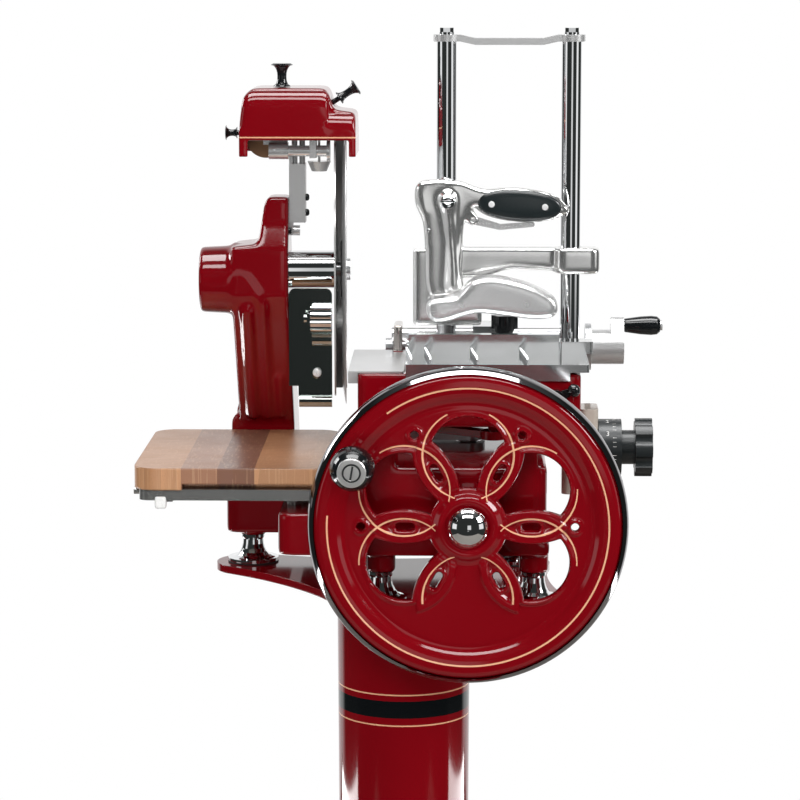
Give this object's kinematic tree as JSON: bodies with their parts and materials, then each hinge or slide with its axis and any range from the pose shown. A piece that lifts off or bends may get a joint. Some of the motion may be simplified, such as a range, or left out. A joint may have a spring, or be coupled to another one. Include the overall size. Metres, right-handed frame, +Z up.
{
  "type": "hand crank meat slicer",
  "caption": "Flywheel meat slicer turned by hand, with round blade, sliding carriage and clamp, on a round pedestal.",
  "frame": {"origin": "on the floor, at the middle of the pedestal's column", "axes": "+Z up, +X to the right seen from the flywheel's side, +Y from the flywheel to the rear"},
  "size_m": [0.617, 0.5422, 1.432],
  "materials": {
    "red": "gloss enamel",
    "chrome": "polished",
    "steel": "ground",
    "alloy": "satin",
    "black": "satin",
    "dark_plate": "dark",
    "cream": "gloss enamel",
    "iron": "machined",
    "stone": "gritty",
    "rubber": "matt",
    "wood": "oiled"
  },
  "bodies": {
    "frame": {"pedestal_base": "red", "pedestal_column": "red", "pedestal_plate": "red", "feet": "chrome", "foot_pads": "rubber", "foot_bolts": "steel", "base_casting": "red", "slide_rails": "chrome", "head_casting": "red", "head_cover": "red", "blade_housing": "chrome", "blade_guard": "chrome", "slice_deflector": "dark_plate", "board_tray": "alloy", "sharpener_post": "alloy", "drive_chain": "iron"},
    "wheel": {"flywheel": "red", "flywheel_rim": "chrome", "hub_cap": "chrome", "wheel_shaft": "steel", "wheel_gears": "steel", "knob_spindle": "chrome"},
    "wheel_grip": {"wheel_knob": "black"},
    "cross": {"cross_shaft": "steel", "cross_gear": "steel", "drive_sprocket": "steel"},
    "blade_unit": {"blade": "chrome", "blade_shaft": "steel", "blade_sprocket": "steel"},
    "crank": {"crank_gear": "steel"},
    "carriage_unit": {"carriage": "red", "side_plate": "alloy", "feed_rail": "chrome", "thickness_housing": "cream"},
    "rod": {"connecting_rod": "red"},
    "lever": {"release_lever": "black"},
    "dial": {"thickness_knob": "black"},
    "table": {"meat_table": "alloy", "meat_spikes": "steel", "meat_fence": "alloy", "clamp_columns": "chrome", "column_bridge": "alloy", "bridge_bolts": "chrome"},
    "fence_lock": {"fence_knob": "black"},
    "feed": {"feed_screw": "steel", "feed_crank": "alloy"},
    "feed_grip": {"feed_handle": "black"},
    "clamp": {"clamp_carrier": "alloy", "clamp_lever": "alloy", "clamp_grip": "black", "clamp_shoe": "alloy"},
    "trigger": {"clamp_trigger": "chrome"},
    "deflector_lock": {"deflector_knob": "chrome"},
    "sharpener": {"sharpener_carrier": "chrome", "sharpener_cover": "red"},
    "stone": {"grinding_stone": "stone"},
    "top_knob": {"sharpener_top_knob": "black"},
    "side_knob": {"sharpener_side_knob": "black"},
    "tilt_knob": {"sharpener_tilt_knob": "black"},
    "board": {"wood_board": "wood"}
  },
  "joints": [
    {"name": "flywheel_spin", "type": "hinge", "parent": "frame", "child": "wheel", "pos_m": [0.075, 0, 0.89], "axis": [0, -1, 0], "continuous": true},
    {"name": "wheel_grip_spin", "type": "hinge", "parent": "wheel", "child": "wheel_grip", "pos_m": [-0.05144, -0.22, 0.963], "axis": [0, -1, 0], "continuous": true},
    {"name": "crank_spin", "type": "hinge", "parent": "frame", "child": "crank", "pos_m": [0.075, 0.072, 0.92], "axis": [0, 0, 1], "continuous": true},
    {"name": "cross_spin", "type": "hinge", "parent": "frame", "child": "cross", "pos_m": [0, 0.242, 0.89], "axis": [1, 0, 0], "continuous": true},
    {"name": "blade_spin", "type": "hinge", "parent": "frame", "child": "blade_unit", "pos_m": [-0.0725, 0.094, 1.1485], "axis": [0.9991, 0.0419, 0], "continuous": true},
    {"name": "carriage_slide", "type": "slide", "parent": "frame", "child": "carriage_unit", "axis": [0, 1, 0], "range_m": [-0.09, 0.09]},
    {"name": "rod_swing", "type": "hinge", "parent": "carriage_unit", "child": "rod", "pos_m": [0.104, -0.008, 0.967], "axis": [0, 0, 1], "range_deg": [-80, 1]},
    {"name": "release_turn", "type": "hinge", "parent": "carriage_unit", "child": "lever", "pos_m": [0.176, -0.035, 1.014], "axis": [0, -1, 0], "range_deg": [-45, 0]},
    {"name": "thickness_turn", "type": "hinge", "parent": "carriage_unit", "child": "dial", "pos_m": [0.25, 0.02, 0.948], "axis": [1, 0, 0], "range_deg": [-150, 150]},
    {"name": "table_feed", "type": "slide", "parent": "carriage_unit", "child": "table", "axis": [1, 0, 0], "range_m": [-0.064, 0.083]},
    {"name": "feed_turn", "type": "hinge", "parent": "carriage_unit", "child": "feed", "pos_m": [0.22, 0.189, 1.044], "axis": [1, 0, 0], "range_deg": [-1160, 1500]},
    {"name": "feed_grip_spin", "type": "hinge", "parent": "feed", "child": "feed_grip", "pos_m": [0.286, 0.189, 1.0705], "axis": [1, 0, 0], "continuous": true},
    {"name": "fence_lock_turn", "type": "hinge", "parent": "table", "child": "fence_lock", "pos_m": [0.118, 0.122, 1.08], "axis": [0, 0, 1], "range_deg": [-170, 170]},
    {"name": "clamp_slide", "type": "slide", "parent": "table", "child": "clamp", "axis": [0, 0, 1], "range_m": [-0.016, 0.166]},
    {"name": "trigger_pull", "type": "hinge", "parent": "clamp", "child": "trigger", "pos_m": [0.08, 0.1085, 1.206], "axis": [0, -1, 0], "range_deg": [0, 5], "stiffness_Nm_per_rad": 2, "springref_deg": -2.86},
    {"name": "deflector_lock_turn", "type": "hinge", "parent": "frame", "child": "deflector_lock", "pos_m": [-0.109, 0.042, 1.096], "axis": [1, 0, 0], "range_deg": [-170, 170]},
    {"name": "sharpener_lift", "type": "slide", "parent": "frame", "child": "sharpener", "axis": [0, 0, 1], "range_m": [0, 0.024]},
    {"name": "stone_spin", "type": "hinge", "parent": "sharpener", "child": "stone", "pos_m": [-0.165, 0.1045, 1.304], "axis": [0, 1, 0], "continuous": true},
    {"name": "top_knob_turn", "type": "hinge", "parent": "sharpener", "child": "top_knob", "pos_m": [-0.1455, 0.094, 1.378], "axis": [0, 0, 1], "range_deg": [-90, 90]},
    {"name": "side_knob_push", "type": "slide", "parent": "sharpener", "child": "side_knob", "axis": [1, 0, 0], "range_m": [0, 0.005], "stiffness_N_per_m": 400, "springref_m": -0.003},
    {"name": "tilt_knob_push", "type": "slide", "parent": "sharpener", "child": "tilt_knob", "axis": [-0.8387, 0, -0.5446], "range_m": [0, 0.005], "stiffness_N_per_m": 400, "springref_m": -0.003},
    {"name": "board_lift", "type": "slide", "parent": "frame", "child": "board", "axis": [0, 0, 1], "range_m": [0, 0.01]}
  ],
  "couplings": [
    {"joint": "crank_spin", "follows": "flywheel_spin", "ratio": -0.5},
    {"joint": "cross_spin", "follows": "flywheel_spin", "ratio": 2},
    {"joint": "blade_spin", "follows": "flywheel_spin", "ratio": 2.6667},
    {"joint": "feed_turn", "follows": "table_feed", "rad_per_m": 314.16}
  ]
}
